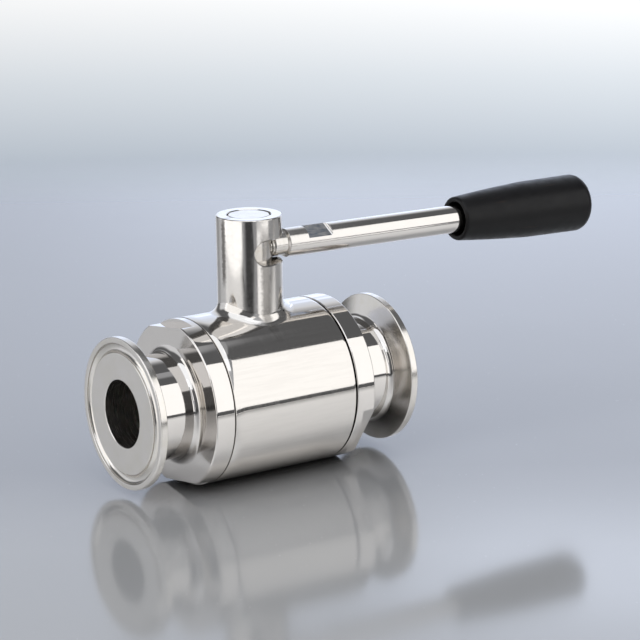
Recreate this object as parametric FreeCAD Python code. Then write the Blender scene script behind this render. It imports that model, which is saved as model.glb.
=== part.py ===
"""Sanitary quarter-turn ball valve with clamp ferrule ends and a straight lever.

Millimetres. The origin is the ball's centre, where the flow axis (X) crosses the stem axis (Z).
The lever points to +X when the valve is open. The inlet is at -X and the outlet at +X.
"""
import FreeCAD, Part
import os
from math import cos, hypot, radians, sin, sqrt, tan

from FreeCAD import Vector

# Flow path, ball and seats
bore_radius = 11.25
bore_edge_chamfer = 0.3
ball_wall = 6.25
seat_land = 3.35
seat_heel = 0.5
seat_rim = 1.4
seat_chamfer = 0.8
backing_section = 1.6
backing_room = 0.3

# Clamp ferrule of the one-inch class
end_face = 50.1
ferrule_radius = 25.25
rim_thickness = 2.5
rim_round = 0.35
bevel_deg = 20.0
bevel_fillet = 2.3
groove_inset = 3.47
groove_radius = 1.58

# Tube neck and flange of an end cap
tube_wall = 6.25
flange_inner = 23.93
flange_thickness = 7.0
flange_fillet = 2.85
flange_edge = 0.45
flat_depth = 2.08
flat_length = 4.5
inlet_flats_deg = 98.8
outlet_flats_deg = -35.3

# Male spigot that screws into the barrel, and its gasket
pocket_depth = 6.0
spigot_lip = 3.45
spigot_chamfer = 0.8
relief_width = 1.6
relief_depth = 0.8
gasket_thickness = 1.5
gasket_width = 2.0

# Barrel and neck
barrel_radius = 27.75
barrel_edge = 0.4
inlet_seam_gap = 0.12
outlet_seam_gap = 0.5
cavity_room = 0.5
neck_bore_radius = 7.3
neck_bore_chamfer = 0.25
neck_wall = 3.6
neck_fillet = 4.0
neck_rim = 0.45
neck_above_slot = 11.5

# Stem, its tang in the ball and its seals
stem_above_ball = 0.7
stem_flange_thickness = 2.35
stem_flange_radius = 9.1
stem_flange_room = 0.3
washer_thickness = 1.5
tang_thickness = 6.0
tang_length = 12.0
tang_floor = 2.35
tang_corner = 2.5
stem_head_radius = 7.0
stem_head_height = 5.0
stem_head_chamfer = 0.35
stem_head_drop = 0.15
o_ring_section = 1.7
o_ring_groove_width = 2.3
band_thickness = 1.1
band_width = 3.0
band_above_washer = 1.55
band_below_slot = 3.75

# Lever and its slot
slot_height = 48.3
lever_rise = 0.15
lever_droop_deg = 1.05
lever_swing_deg = 90.0
slot_room = 0.15
slot_chamfer = 0.3
thread_radius = 4.0
thread_depth = 5.0
thread_chamfer = 0.8
shoulder_off_neck = 2.1
rod_radius = 4.8
rod_edge = 0.6
wrench_flat_inset = 7.8
wrench_flat_length = 9.8
wrench_flat_depth = 1.2
wrench_flat_run_out = 0.9
wrench_flat_deg = 60.0

# Grip and its threaded insert
grip_start = 84.3
grip_length = 55.5
grip_mouth_radius = 5.75
grip_mouth_depth = 5.0
grip_lip = 1.9
grip_swell_length = 30.0
grip_swell_fullness = 0.58
grip_radius = 9.85
grip_end_radius = 10.1
grip_corner = 3.6
grip_crown = 0.6
insert_inset = 25.7
insert_length = 17.0
insert_radius = 6.3

# Clearances
screwed_clearance = 0.05
running_clearance = 0.05
seat_clearance = 0.05
tang_clearance = 0.05
tang_float = 0.4

# How far a cutting shape runs past what it cuts
overshoot = 1.0

X_AXIS = Vector(1, 0, 0)
Z_AXIS = Vector(0, 0, 1)
ORIGIN = Vector(0, 0, 0)

# Radii and stations along the flow axis that follow from the sizes above
ball_radius = bore_radius + ball_wall
tube_radius = bore_radius + tube_wall
flange_outer = flange_inner + flange_thickness
seat_back = ball_radius + seat_heel
seat_radius = ball_radius + seat_rim
pocket_radius = seat_radius + seat_clearance
backing_centre_radius = (bore_radius + seat_radius) / 2
spigot_end = seat_back - pocket_depth
spigot_radius = pocket_radius + spigot_lip
gasket_shoulder = spigot_end - gasket_thickness
cavity_radius = seat_radius + cavity_room

# Heights on the stem axis
neck_radius = neck_bore_radius + neck_wall
neck_top = slot_height + neck_above_slot
stem_radius = neck_bore_radius - running_clearance
stem_flange_bottom = ball_radius + stem_above_ball
stem_flange_top = stem_flange_bottom + stem_flange_thickness
washer_bottom = stem_flange_top + running_clearance
washer_top = washer_bottom + washer_thickness
stem_top = neck_top - stem_head_drop
slot_radius = thread_radius + slot_room
lower_band = washer_top + band_above_washer + band_width / 2
upper_band = slot_height - slot_radius - band_below_slot - band_width / 2
lower_ring = lower_band + (upper_band - lower_band) / 3
upper_ring = upper_band - (upper_band - lower_band) / 3

# The lever's height at the stem axis, and stations along it from there
lever_height = slot_height + lever_rise
lever_shoulder = neck_radius + shoulder_off_neck
wrench_flat_start = lever_shoulder + wrench_flat_inset
wrench_flat_end = wrench_flat_start + wrench_flat_length
grip_tip = grip_start + grip_length
insert_start = grip_start + insert_inset
insert_end = insert_start + insert_length


def at_angle(centre, radius, degrees):
    """Point of a circle in an outline's own plane."""
    return (centre[0] + radius * cos(radians(degrees)), centre[1] + radius * sin(radians(degrees)))


def outline(points, place):
    """Closed face from outline points; an entry that is a pair of points is an arc to its second."""
    edges = []
    here = place(*points[0])
    for entry in points[1:] + points[:1]:
        if isinstance(entry[0], tuple):
            middle, end = place(*entry[0]), place(*entry[1])
            edges.append(Part.Arc(here, middle, end).toShape())
        else:
            end = place(*entry)
            edges.append(Part.makeLine(here, end))
        here = end
    return Part.Face(Part.Wire(edges))


def turned_on_x(points, side=1, height=0.0):
    """Solid turned about the X axis, or a line parallel to it, from (along, radius) points."""
    face = outline(points, lambda along, radius: Vector(side * along, 0, height + radius))
    return face.revolve(Vector(0, 0, height), X_AXIS, 360)


def turned_on_z(points):
    """Solid turned about the Z axis from (height, radius) points."""
    face = outline(points, lambda height, radius: Vector(radius, 0, height))
    return face.revolve(ORIGIN, Z_AXIS, 360)


def around_flow(degrees):
    """Direction square to the flow axis, measured from the front (-Y) towards the top (+Z)."""
    return Vector(0, -cos(radians(degrees)), sin(radians(degrees)))


def half_space(direction, distance, along_from, along_to):
    """Block beyond a plane square to direction, between two stations along X."""
    reach = 2 * barrel_radius
    block = Part.makeBox(along_to - along_from, reach, reach)
    block.translate(Vector(along_from, -reach / 2, distance))
    block.rotate(ORIGIN, X_AXIS, FreeCAD.Rotation(Z_AXIS, direction).getYawPitchRoll()[2])
    return block


def end_cap(side, flats_deg):
    """Screwed end: seat pocket, male spigot, flange with two flats, tube neck and clamp ferrule."""
    bevel = radians(bevel_deg)
    rim_inner = end_face - rim_thickness
    bevel_foot = rim_inner - (ferrule_radius - tube_radius) * tan(bevel)
    run = bevel_fillet * tan(radians(90 - bevel_deg) / 2)
    fillet_centre = (bevel_foot - run, tube_radius + bevel_fillet)
    groove_centre = (end_face, ferrule_radius - groove_inset)
    neck_centre = (flange_outer + flange_fillet, tube_radius + flange_fillet)
    relief_start = flange_inner - relief_width
    backing_half = backing_section / 2 + backing_room
    points = [
        (spigot_end, pocket_radius),
        (spigot_end, spigot_radius - spigot_chamfer),
        (spigot_end + spigot_chamfer, spigot_radius),
        (relief_start, spigot_radius),
        (relief_start, spigot_radius - relief_depth),
        (flange_inner, spigot_radius - relief_depth),
        (flange_inner, barrel_radius - flange_edge),
        (flange_inner + flange_edge, barrel_radius),
        (flange_outer - flange_edge, barrel_radius),
        (flange_outer, barrel_radius - flange_edge),
        (flange_outer, tube_radius + flange_fillet),
        (at_angle(neck_centre, flange_fillet, 225), (flange_outer + flange_fillet, tube_radius)),
        (fillet_centre[0], tube_radius),
        (at_angle(fillet_centre, bevel_fillet, -90 + (90 - bevel_deg) / 2),
         at_angle(fillet_centre, bevel_fillet, -bevel_deg)),
        (rim_inner - rim_round * sin(bevel), ferrule_radius - rim_round * cos(bevel)),
        (rim_inner + rim_round, ferrule_radius),
        (end_face - rim_round, ferrule_radius),
        (at_angle((end_face - rim_round, ferrule_radius - rim_round), rim_round, 45),
         (end_face, ferrule_radius - rim_round)),
        (end_face, groove_centre[1] + groove_radius),
        (at_angle(groove_centre, groove_radius, 180), (end_face, groove_centre[1] - groove_radius)),
        (end_face, bore_radius + bore_edge_chamfer),
        (end_face - bore_edge_chamfer, bore_radius),
        (seat_back, bore_radius),
        (seat_back, backing_centre_radius - backing_half),
        (seat_back + backing_section, backing_centre_radius - backing_half),
        (seat_back + backing_section, backing_centre_radius + backing_half),
        (seat_back, backing_centre_radius + backing_half),
        (seat_back, pocket_radius),
    ]
    cap = turned_on_x(points, side)
    low, high = sorted((side * (flange_outer - flat_length), side * (flange_outer + overshoot)))
    for turn in (0, 180):
        cap = cap.cut(half_space(around_flow(flats_deg + turn), barrel_radius - flat_depth, low, high))
    return cap


def seat(side):
    """Seat ring, lapped to the ball and held in the cap's pocket."""
    lap = ball_radius + seat_clearance

    def on_lap(radius):
        return (sqrt(lap ** 2 - radius ** 2), radius)

    land = bore_radius + seat_land
    front = on_lap(land)
    return turned_on_x([
        (seat_back, bore_radius),
        on_lap(bore_radius),
        (on_lap((bore_radius + land) / 2), front),
        (front[0], seat_radius - seat_chamfer),
        (front[0] + seat_chamfer, seat_radius),
        (seat_back, seat_radius),
    ], side)


def ring_on_x(section, centre_radius, along):
    """Round-section ring about the flow axis."""
    return Part.makeTorus(centre_radius, section / 2, Vector(along, 0, 0), X_AXIS)


def body_gasket(side):
    """Flat ring squeezed between the barrel's inner shoulder and the end of the spigot."""
    outer = spigot_radius - spigot_chamfer
    return turned_on_x([
        (gasket_shoulder, outer - gasket_width),
        (gasket_shoulder, outer),
        (spigot_end, outer),
        (spigot_end, outer - gasket_width),
    ], side)


def on_barrel_and_neck(edge):
    """True for an edge that lies both on the barrel's outside and on the neck's."""
    points = [edge.valueAt(edge.FirstParameter + share * (edge.LastParameter - edge.FirstParameter))
              for share in (0.1, 0.4, 0.8)]
    near_barrel = all(abs(hypot(p.y, p.z) - barrel_radius) < 0.01 for p in points)
    return near_barrel and all(abs(hypot(p.x, p.y) - neck_radius) < 0.01 for p in points)


def lever_slot():
    """Quarter-turn slot through the neck's wall, from the open side (+X) round to the front (-Y)."""
    low, high = slot_height - slot_radius, slot_height + slot_radius
    inner, outer = neck_bore_radius - neck_wall / 2, neck_radius + neck_wall / 2
    section = outline([(low, inner), (low, outer), (high, outer), (high, inner)],
                      lambda height, radius: Vector(radius, 0, height))
    slot = section.revolve(ORIGIN, Z_AXIS, -lever_swing_deg)
    for degrees in (0, -lever_swing_deg):
        end = Part.makeCylinder(slot_radius, outer - inner, Vector(inner, 0, slot_height), X_AXIS)
        end.rotate(ORIGIN, Z_AXIS, degrees)
        slot = slot.fuse(end)
    return slot


def valve_body():
    """Barrel with its neck, filleted together, bored for the caps, the ball and the stem."""
    inlet_end = -(flange_inner - inlet_seam_gap)
    outlet_end = flange_inner - outlet_seam_gap
    barrel = turned_on_x([
        (inlet_end, 0),
        (inlet_end, barrel_radius - barrel_edge),
        (inlet_end + barrel_edge, barrel_radius),
        (outlet_end - barrel_edge, barrel_radius),
        (outlet_end, barrel_radius - barrel_edge),
        (outlet_end, 0),
    ])
    neck = turned_on_z([
        (0, 0),
        (0, neck_radius),
        (neck_top - neck_rim, neck_radius),
        (at_angle((neck_top - neck_rim, neck_radius - neck_rim), neck_rim, 45),
         (neck_top, neck_radius - neck_rim)),
        (neck_top, 0),
    ])
    solid = barrel.fuse(neck).removeSplitter()
    joint_edges = [edge for edge in solid.Edges if on_barrel_and_neck(edge)]
    solid = solid.makeFillet(neck_fillet, joint_edges)
    thread = spigot_radius + screwed_clearance
    cavity = turned_on_x([
        (inlet_end - overshoot, 0),
        (inlet_end - overshoot, thread),
        (-gasket_shoulder, thread),
        (-gasket_shoulder, cavity_radius),
        (gasket_shoulder, cavity_radius),
        (gasket_shoulder, thread),
        (outlet_end + overshoot, thread),
        (outlet_end + overshoot, 0),
    ])
    stem_bore = turned_on_z([
        (0, 0),
        (0, stem_flange_radius + stem_flange_room),
        (washer_top, stem_flange_radius + stem_flange_room),
        (washer_top, neck_bore_radius),
        (neck_top - neck_bore_chamfer, neck_bore_radius),
        (neck_top + neck_bore_chamfer, neck_bore_radius + 2 * neck_bore_chamfer),
        (neck_top + neck_bore_chamfer, 0),
    ])
    solid = solid.cut(cavity).cut(stem_bore).cut(lever_slot())
    mouth = [edge for edge in solid.Edges if on_slot_mouth(edge)]
    return solid.makeChamfer(slot_chamfer, mouth)


def on_slot_mouth(edge):
    """True for an edge of the lever slot on the outside of the neck."""
    points = [edge.valueAt(edge.FirstParameter + share * (edge.LastParameter - edge.FirstParameter))
              for share in (0.1, 0.5, 0.9)]
    low, high = slot_height - slot_radius - 0.01, slot_height + slot_radius + 0.01
    on_neck = all(abs(hypot(p.x, p.y) - neck_radius) < 0.01 and low < p.z < high for p in points)
    upright = abs(points[0].x - points[2].x) < 0.001 and abs(points[0].y - points[2].y) < 0.001
    return on_neck and not upright


def ball():
    """Through-bored ball with a blind slot across its top for the stem's tang."""
    solid = Part.makeSphere(ball_radius)
    solid = solid.cut(Part.makeCylinder(bore_radius, 2 * ball_radius, Vector(-ball_radius, 0, 0), X_AXIS))
    return solid.cut(tang_block(tang_clearance, tang_float, ball_radius))


def tang_block(clearance, play, top):
    """Key between stem and ball, with rounded ends; clearance and end play make it the ball's slot."""
    width = tang_thickness + 2 * clearance
    length = tang_length + play
    bottom = bore_radius + tang_floor - clearance
    block = Part.makeBox(width, length, top - bottom)
    block.translate(Vector(-width / 2, -length / 2, bottom))
    upright = [edge for edge in block.Edges
               if abs(edge.Vertexes[0].Point.z - edge.Vertexes[1].Point.z) > 0.5]
    return block.makeFillet(tang_corner, upright)


def groove(height, width, depth):
    """Ring to cut from the stem's shank."""
    low, high = height - width / 2, height + width / 2
    inner, outer = stem_radius - depth, stem_radius + overshoot
    return turned_on_z([(low, inner), (low, outer), (high, outer), (high, inner)])


def lever_direction():
    return Vector(cos(radians(lever_droop_deg)), 0, -sin(radians(lever_droop_deg)))


def stem():
    """Bottom-entry stem: tang, blow-out flange, grooved shank, lever hole and flush head."""
    head_foot = stem_top - stem_head_height
    shank = turned_on_z([
        (stem_flange_bottom, 0),
        (stem_flange_bottom, stem_flange_radius),
        (stem_flange_top, stem_flange_radius),
        (stem_flange_top, stem_radius),
        (head_foot, stem_radius),
        (head_foot + stem_radius - stem_head_radius, stem_head_radius),
        (stem_top - stem_head_chamfer, stem_head_radius),
        (stem_top, stem_head_radius - stem_head_chamfer),
        (stem_top, 0),
    ])
    solid = shank.fuse(tang_block(0, 0, stem_flange_bottom + stem_flange_thickness / 2)).removeSplitter()
    for height in (lower_ring, upper_ring):
        solid = solid.cut(groove(height, o_ring_groove_width, o_ring_section))
    for height in (lower_band, upper_band):
        solid = solid.cut(groove(height, band_width, band_thickness))
    start = Vector(0, 0, lever_height) - lever_direction() * (thread_depth + screwed_clearance)
    hole = Part.makeCylinder(thread_radius, thread_depth + 2 * stem_radius, start, lever_direction())
    return solid.cut(hole)


def stem_o_ring(height):
    """Round ring in a stem groove, just clear of the neck's bore."""
    section = o_ring_section - running_clearance / 2
    inner = stem_radius - o_ring_section
    return Part.makeTorus(inner + section / 2, section / 2, Vector(0, 0, height), Z_AXIS)


def guide_band(height):
    """Thin bearing band in a stem groove that keeps metal off metal."""
    low, high = height - band_width / 2, height + band_width / 2
    inner, outer = stem_radius - band_thickness, stem_radius + running_clearance / 2
    return turned_on_z([(low, inner), (low, outer), (high, outer), (high, inner)])


def thrust_washer():
    """Washer between the stem's flange and the roof of the counterbore."""
    inner = neck_bore_radius + running_clearance
    return turned_on_z([
        (washer_bottom, inner),
        (washer_bottom, stem_flange_radius),
        (washer_top, stem_flange_radius),
        (washer_top, inner),
    ])


def along_lever(solid):
    """Tips a piece that was turned level to the lever's slight droop."""
    solid.rotate(Vector(0, 0, lever_height), Vector(0, 1, 0), lever_droop_deg)
    return solid


def wrench_flat(degrees):
    """Cutter for one flat of the lever, with the milling cutter's round run-out at its outer end."""
    floor, top = rod_radius - wrench_flat_depth, rod_radius + overshoot
    run_out = (wrench_flat_end - wrench_flat_run_out, floor + wrench_flat_run_out)
    section = outline([
        (wrench_flat_start, top),
        (wrench_flat_start, floor),
        (run_out[0], floor),
        (at_angle(run_out, wrench_flat_run_out, -45), (wrench_flat_end, run_out[1])),
        (wrench_flat_end, top),
    ], lambda along, height: Vector(along, -2 * rod_radius, lever_height + height))
    cutter = section.extrude(Vector(0, 4 * rod_radius, 0))
    cutter.rotate(Vector(0, 0, lever_height), X_AXIS, 90 - degrees)
    return cutter


def lever_rod():
    """Lever: threaded end, chamfered shoulder, plain bar with two wrench flats and inner thread."""
    thread = thread_radius - screwed_clearance
    points = [
        (-thread_depth, 0),
        (-thread_depth, thread - thread_chamfer),
        (-thread_depth + thread_chamfer, thread),
        (lever_shoulder, thread),
        (lever_shoulder, rod_radius - rod_edge),
        (lever_shoulder + rod_edge, rod_radius),
        (insert_start, rod_radius),
        (insert_start, thread),
        (insert_end - thread_chamfer, thread),
        (insert_end, thread - thread_chamfer),
        (insert_end, 0),
    ]
    rod = turned_on_x(points, 1, lever_height)
    for turn in (0, 180):
        rod = rod.cut(wrench_flat(wrench_flat_deg + turn))
    return along_lever(rod)


def grip_insert():
    """Threaded bush moulded into the grip."""
    return along_lever(turned_on_x([
        (insert_start, thread_radius),
        (insert_start, insert_radius),
        (insert_end, insert_radius),
        (insert_end, thread_radius),
    ], 1, lever_height))


def lever_grip():
    """Moulded grip: rounded lip, hollow mouth, swelling side and crowned end."""
    half_lip = grip_lip / 2
    lip_centre = (grip_start + half_lip, grip_mouth_radius + half_lip)
    lip_top = (lip_centre[0], grip_mouth_radius + grip_lip)
    swell_end = (grip_start + grip_swell_length, grip_radius)
    half_rise = grip_swell_fullness * (swell_end[1] - lip_top[1])
    swell_middle = ((lip_top[0] + swell_end[0]) / 2, lip_top[1] + half_rise)
    corner = (grip_tip - grip_crown - grip_corner, grip_end_radius - grip_corner)
    rod_hole = rod_radius + screwed_clearance
    crown_arc = (corner[1] ** 2 + grip_crown ** 2) / (2 * grip_crown)
    crown_middle = (grip_tip - crown_arc + sqrt(crown_arc ** 2 - corner[1] ** 2 / 4), corner[1] / 2)
    points = [
        (grip_start + grip_mouth_depth, grip_mouth_radius),
        (lip_centre[0], grip_mouth_radius),
        ((grip_start, lip_centre[1]), lip_top),
        (swell_middle, swell_end),
        (corner[0], grip_end_radius),
        (at_angle(corner, grip_corner, 45), (corner[0] + grip_corner, corner[1])),
        (crown_middle, (grip_tip, 0)),
        (insert_end, 0),
        (insert_end, insert_radius),
        (insert_start, insert_radius),
        (insert_start, rod_hole),
        (grip_start + grip_mouth_depth + grip_mouth_radius - rod_hole, rod_hole),
    ]
    return along_lever(turned_on_x(points, 1, lever_height))


def backing_ring(side):
    """Round ring behind a seat that presses it on the ball."""
    return ring_on_x(backing_section, backing_centre_radius, side * (seat_back + backing_section / 2))


pieces = {
    "valve_body": valve_body(),
    "inlet_end_cap": end_cap(-1, inlet_flats_deg),
    "outlet_end_cap": end_cap(1, outlet_flats_deg),
    "inlet_seat": seat(-1),
    "outlet_seat": seat(1),
    "inlet_seat_o_ring": backing_ring(-1),
    "outlet_seat_o_ring": backing_ring(1),
    "inlet_body_gasket": body_gasket(-1),
    "outlet_body_gasket": body_gasket(1),
    "stem_thrust_washer": thrust_washer(),
    "ball": ball(),
    "stem": stem(),
    "stem_o_ring_lower": stem_o_ring(lower_ring),
    "stem_o_ring_upper": stem_o_ring(upper_ring),
    "stem_guide_band_lower": guide_band(lower_band),
    "stem_guide_band_upper": guide_band(upper_band),
    "lever_rod": lever_rod(),
    "grip_insert": grip_insert(),
    "lever_grip": lever_grip(),
}

os.makedirs("parts", exist_ok=True)
for name, shape in pieces.items():
    shape.exportStep(os.path.join("parts", name + ".step"))
    print(name, "valid" if shape.isValid() else "NOT VALID", len(shape.Solids), round(shape.Volume, 1))
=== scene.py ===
from math import ceil, cos, pi, radians, sin, sqrt, tan

import bmesh
import bpy
from mathutils import Matrix, Vector


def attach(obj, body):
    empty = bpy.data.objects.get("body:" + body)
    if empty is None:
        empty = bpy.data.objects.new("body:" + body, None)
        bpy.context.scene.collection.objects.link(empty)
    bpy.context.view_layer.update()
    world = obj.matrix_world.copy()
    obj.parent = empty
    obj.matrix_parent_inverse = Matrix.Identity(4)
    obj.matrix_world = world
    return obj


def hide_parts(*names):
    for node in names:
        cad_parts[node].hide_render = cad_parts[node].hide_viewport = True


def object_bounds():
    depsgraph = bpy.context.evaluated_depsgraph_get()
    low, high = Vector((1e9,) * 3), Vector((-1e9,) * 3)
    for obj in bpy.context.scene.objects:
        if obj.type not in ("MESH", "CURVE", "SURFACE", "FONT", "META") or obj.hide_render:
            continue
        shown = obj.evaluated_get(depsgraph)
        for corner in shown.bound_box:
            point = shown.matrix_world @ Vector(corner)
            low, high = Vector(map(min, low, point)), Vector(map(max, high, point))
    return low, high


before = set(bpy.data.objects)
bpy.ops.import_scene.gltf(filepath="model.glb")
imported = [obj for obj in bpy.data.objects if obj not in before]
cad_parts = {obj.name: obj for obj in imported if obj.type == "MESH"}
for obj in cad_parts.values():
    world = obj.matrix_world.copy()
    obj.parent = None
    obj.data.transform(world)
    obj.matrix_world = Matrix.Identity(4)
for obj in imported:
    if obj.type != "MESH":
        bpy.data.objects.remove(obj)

mm = 0.001
cad_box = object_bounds()
scene = bpy.context.scene

# Sizes of the valve in millimetres: those of the frame's solids, with finer edges and the places of
# marks that only this scene shows
bore_radius = 11.25
bore_edge = 0.3
end_face = 50.1
ferrule_radius = 25.25
rim_thickness = 2.5
rim_round = 0.35
broken_edge = 0.1
sharp_edge = 0.05
root_round = 0.2
bevel_deg = 20.0
bevel_fillet = 2.3
groove_inset = 3.47
groove_radius = 1.58
groove_lip = 0.25
tube_radius = 17.5
flange_inner = 23.93
flange_outer = 30.93
flange_fillet = 2.85
flange_seam_edge = 0.36
flange_face_edge = 0.495
flat_depth = 2.08
flat_length = 4.5
inlet_flats_deg = 98.8
outlet_flats_deg = -35.3
seat_back = 18.0
seat_recess = 18.95
spigot_end = 12.0
spigot_radius = 22.4
spigot_chamfer = 0.8
relief_width = 1.6
relief_depth = 0.8
backing_groove_inner = 13.975
backing_groove_outer = 16.175
backing_groove_depth = 1.6
barrel_radius = 27.75
inlet_seam = -23.81
outlet_seam = 23.43
neck_radius = 10.9
belt_mark_y = -1.3
slot_mark_x = -0.5
lever_height = 48.45
lever_droop_deg = 1.05
thread_radius = 3.95
thread_chamfer = 0.8
thread_length_inside = 5.0
thread_pitch = 1.25
thread_relief = 0.5
thread_end = 8.8
lever_shoulder = 13.0
rod_radius = 4.8
rod_edge = 0.6
wrench_flat_start = 20.8
wrench_flat_end = 30.6
wrench_flat_depth = 1.2
wrench_flat_run_out = 0.9
wrench_flat_deg = 60.0
grip_start = 84.3
grip_tip = 139.8
grip_mouth_radius = 5.75
grip_mouth_depth = 5.0
grip_lip = 1.9
grip_swell_length = 30.0
grip_swell_fullness = 0.58
grip_radius = 9.85
grip_end_radius = 10.1
grip_corner = 3.6
grip_crown = 0.6
grip_clearance = 0.05
insert_start = 110.0
insert_end = 127.0
insert_radius = 6.3

# Facets round a turned piece, and the angle past which an edge stays sharp
turning_steps = 192
sharp_deg = 28.0

# Sockets of a Mix node: of one that mixes colours, and of one that mixes numbers
MIX_A, MIX_B, MIX_RESULT = 6, 7, 2
MIX_LOW, MIX_HIGH = 2, 3


def linear(hex_code):
    """Scene-linear colour of an sRGB hex value."""
    channels = [int(hex_code[i:i + 2], 16) / 255 for i in (0, 2, 4)]
    return [c / 12.92 if c <= 0.04045 else ((c + 0.055) / 1.055) ** 2.4 for c in channels] + [1.0]


def add(tree, kind, inputs=None, **settings):
    """Adds a node. A node or socket given for an input is linked; any other value is set on it."""
    node = tree.nodes.new(kind)
    for name, value in settings.items():
        setattr(node, name, value)
    for name, value in (inputs or {}).items():
        if isinstance(value, bpy.types.Node):
            value = value.outputs[0]
        if isinstance(value, bpy.types.NodeSocket):
            tree.links.new(value, node.inputs[name])
        else:
            node.inputs[name].default_value = value
    return node


def new_material(name):
    """Empty node material and its tree."""
    material = bpy.data.materials.new(name)
    material.use_nodes = True
    material.node_tree.nodes.clear()
    return material, material.node_tree


def per_mm(*lengths):
    """Texture scale that stretches a pattern of unit size to these lengths in millimetres."""
    return [1 / (length * mm) for length in lengths]


def within(tree, value, low, high, soft):
    """1 between low and high and 0 outside, with a soft edge across each."""
    rise, fall = (add(tree, "ShaderNodeMapRange", {"Value": value, "From Min": outer, "From Max": inner},
                      interpolation_type="SMOOTHSTEP")
                  for outer, inner in ((low - soft, low + soft), (high + soft, high - soft)))
    return add(tree, "ShaderNodeMath", {0: rise, 1: fall}, operation="MULTIPLY")


def carved(tree, pattern, depth, below=0.0):
    """Normal of a surface that a pattern carves to a depth in millimetres, over another height."""
    height = add(tree, "ShaderNodeMath", {0: pattern, 1: depth * mm, 2: below}, operation="MULTIPLY_ADD")
    return add(tree, "ShaderNodeBump", {"Height": height, "Distance": 1.0, "Strength": 1.0})


def mirror_steel(name, mark_lengths, roughness=0.03, waviness=0.03, dull_start=0.0):
    """Stainless steel, 316L or 304, turned, ground or drawn and then mirror buffed.

    The eye gets a clear, faintly wavy mirror, hair lines where the buffing wheel ran and a few dull
    wipes. The real lines are under 0.1 mm apart and are drawn 0.4 to 0.6 mm apart so that they show.
    The lever bar is duller where it starts, which dull_start gives.
    """
    material, tree = new_material(name)
    place = add(tree, "ShaderNodeTexCoord").outputs["Object"]
    slow = add(tree, "ShaderNodeTexNoise", {"Vector": place, "Scale": per_mm(17)[0], "Detail": 1.0})
    marks_place = add(tree, "ShaderNodeMapping", {"Vector": place, "Scale": per_mm(*mark_lengths)})
    marks = add(tree, "ShaderNodeTexNoise", {"Vector": marks_place, "Scale": 1.0, "Detail": 3.0,
                                             "Roughness": 0.65})
    wipes = add(tree, "ShaderNodeTexNoise", {"Vector": place, "Scale": per_mm(6)[0], "Detail": 4.0,
                                             "Roughness": 0.7, "Distortion": 0.6})
    wave = add(tree, "ShaderNodeMath", {0: slow, 1: waviness * mm}, operation="MULTIPLY")
    relief = carved(tree, marks, 0.0004, wave)
    dull = add(tree, "ShaderNodeMapRange", {"Value": wipes, "From Min": 0.35, "From Max": 0.75,
                                            "To Min": roughness, "To Max": roughness + 0.045})
    along = add(tree, "ShaderNodeSeparateXYZ", {0: place}).outputs["X"]
    from_start = add(tree, "ShaderNodeMapRange", {"Value": along, "From Min": 70 * mm, "From Max": 15 * mm,
                                                  "To Min": 0.0, "To Max": dull_start})
    dull = add(tree, "ShaderNodeMath", {0: dull, 1: from_start}, operation="ADD")
    tint = add(tree, "ShaderNodeMix", {"Factor": wipes, MIX_A: linear("CBC7C2"), MIX_B: linear("D1CDC9")},
               data_type="RGBA")
    steel = add(tree, "ShaderNodeBsdfPrincipled", {"Base Color": tint.outputs[MIX_RESULT], "Metallic": 1.0,
                                                   "Roughness": dull, "Normal": relief})
    add(tree, "ShaderNodeOutputMaterial", {"Surface": steel})
    return material


def rolled_ends(tree, along):
    """How far the barrel's skin drops where buffing rolled it over towards its two seams, in metres."""
    drops = []
    for seam, width, fall in ((inlet_seam, 4.0, 0.38), (outlet_seam, -1.2, 0.12)):
        into = add(tree, "ShaderNodeMapRange", {"Value": along, "From Min": (seam + width) * mm,
                                                "From Max": seam * mm})
        curved = add(tree, "ShaderNodeMath", {0: into, 1: 2.5}, operation="POWER")
        drops.append(add(tree, "ShaderNodeMath", {0: curved, 1: fall * mm}, operation="MULTIPLY"))
    return add(tree, "ShaderNodeMath", {0: drops[0], 1: drops[1]}, operation="ADD")


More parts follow.
